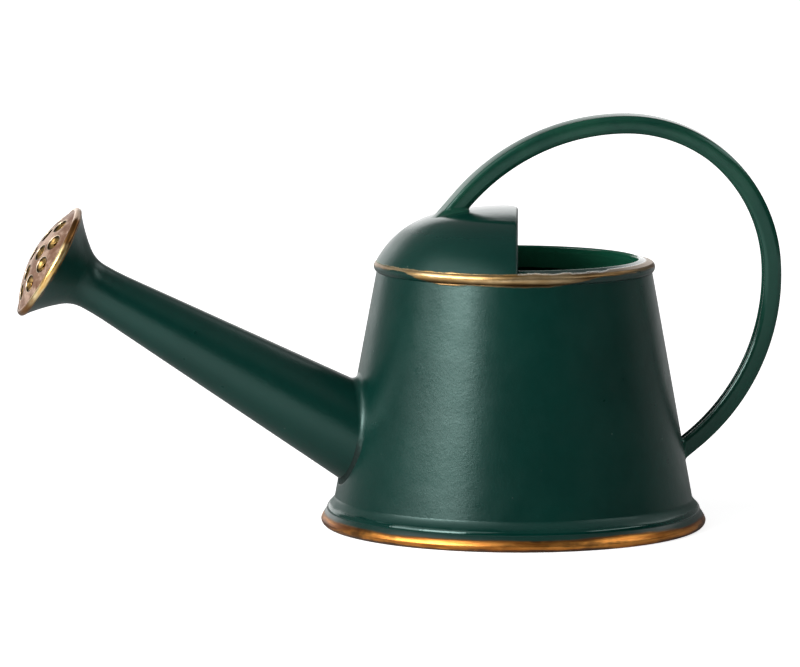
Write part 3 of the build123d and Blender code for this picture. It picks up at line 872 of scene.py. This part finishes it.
def make_floor():
    """A broad white floor that keeps the can's shadow. Mirrored in the can, it is dim, apart from a
    pale card on its front left."""
    half = FLOOR_HALF
    corners = [(-half, -half, 0), (half, -half, 0), (half, half, 0), (-half, half, 0)]
    mesh = bpy.data.meshes.new("floor")
    mesh.from_pydata(corners, [], [(0, 1, 2, 3)])
    floor = bpy.data.objects.new("floor", mesh)
    bpy.context.scene.collection.objects.link(floor)
    material, g = new_material("floor_paper")
    where = position(g)
    path = g.node("ShaderNodeLightPath")
    mirrored = g.math("MAXIMUM", path.outputs["Is Glossy Ray"], path.outputs["Is Transmission Ray"])
    mottle = g.noise(where, 40.0 * MM, detail=2.0, seed=2.0)
    colour = g.mix(mottle, (0.84, 0.84, 0.84, 1.0), (0.88, 0.88, 0.88, 1.0))
    colour = g.mix(g.math("MULTIPLY", mirrored, 0.6), colour, (0.2, 0.2, 0.2, 1.0))
    paper = g.node("ShaderNodeBsdfDiffuse", {"Color": colour})
    far = g.ramp(g.vector("LENGTH", where), 0.10, 0.50)
    seen = g.math("MULTIPLY", path.outputs["Is Camera Ray"], g.blend(far, 0.78, 1.0))
    front = g.vector("DOT_PRODUCT", where, tuple(room @ Vector((0.0, -1.0, 0.0))))
    left = g.vector("DOT_PRODUCT", where, tuple(room @ Vector((-1.0, 0.0, 0.0))))
    card = g.math("MULTIPLY", g.ramp(front, 0.005, 0.045), g.ramp(left, -0.03, 0.03))
    near = g.blend(card, 0.03, 0.60)
    reflected = g.math("MULTIPLY", mirrored, g.blend(far, near, 0.45))
    strength = g.math("ADD", seen, reflected)
    glow = g.node("ShaderNodeEmission", {"Color": (1, 1, 1, 1), "Strength": strength})
    both = g.node("ShaderNodeAddShader")
    g.put(both.inputs[0], paper.outputs[0])
    g.put(both.inputs[1], glow.outputs[0])
    out = g.node("ShaderNodeOutputMaterial")
    g.put(out.inputs["Surface"], both.outputs[0])
    mesh.materials.append(material)


def make_world():
    """A bright backdrop low behind the can in an otherwise dim room, white to the camera."""
    world = bpy.data.worlds.new("studio")
    bpy.context.scene.world = world
    world.use_nodes = True
    g = Graph(world.node_tree)
    direction = g.node("ShaderNodeTexCoord").outputs["Generated"]
    back = room @ Vector((math.sin(BACKDROP_AZIMUTH), -math.cos(BACKDROP_AZIMUTH), 0.0))
    up = g.node("ShaderNodeSeparateXYZ", {0: direction}).outputs["Z"]
    level = g.vector("NORMALIZE", g.vector("MULTIPLY", direction, (1.0, 1.0, 0.0)))
    behind = g.vector("DOT_PRODUCT", level, tuple(back))
    backdrop = g.math("MULTIPLY", g.ramp(behind, 0.866, 0.94), g.ramp(up, 0.46, 0.30))
    right = g.vector("DOT_PRODUCT", direction, tuple(room @ Vector((1.0, 0.0, 0.0))))
    overhead = g.blend(g.ramp(right, -0.25, 0.25), 0.08, 0.16)
    ceiling = g.math("MULTIPLY", g.ramp(up, 0.42, 0.62), overhead)
    sides = g.math("MULTIPLY", g.ramp(behind, -0.35, 0.15), 0.17)
    dim = g.math("MAXIMUM", g.math("MAXIMUM", ceiling, sides), 0.02)
    around = g.blend(backdrop, dim, 1.5)
    path = g.node("ShaderNodeLightPath")
    strength = g.blend(path.outputs["Is Camera Ray"], around, 1.0)
    glow = g.node("ShaderNodeBackground", {"Color": (1, 1, 1, 1), "Strength": strength})
    out = g.node("ShaderNodeOutputWorld")
    g.put(out.inputs["Surface"], glow.outputs[0])


def panel(name, azimuths, elevations, radiance):
    """A rectangular light looking at the can's middle, between two azimuths and two elevations.
    Azimuth is from the camera's side, towards the right; its strength is given as radiance, so 1 is
    as bright as lit white paper."""
    a = math.radians(sum(azimuths) / 2)
    e = math.radians(sum(elevations) / 2)
    width = 2 * PANEL_DISTANCE * math.tan(math.radians(azimuths[1] - azimuths[0]) / 2) * math.cos(e)
    height = 2 * PANEL_DISTANCE * math.tan(math.radians(elevations[1] - elevations[0]) / 2)
    outward = room @ Vector((math.sin(a) * math.cos(e), -math.cos(a) * math.cos(e), math.sin(e)))
    data = bpy.data.lights.new(name, "AREA")
    data.shape = "RECTANGLE"
    data.size = width
    data.size_y = height
    data.energy = radiance * math.pi * width * height
    light = bpy.data.objects.new(name, data)
    light.visible_camera = False
    bpy.context.scene.collection.objects.link(light)
    centre = PANEL_AIM + outward * PANEL_DISTANCE
    turn = outward.to_track_quat("Z", "Y").to_matrix()
    light.matrix_world = Matrix.Translation(centre) @ turn.to_4x4()


make_floor()
make_world()
for name, azimuths, elevations, radiance in PANELS:
    panel(name, azimuths, elevations, radiance)
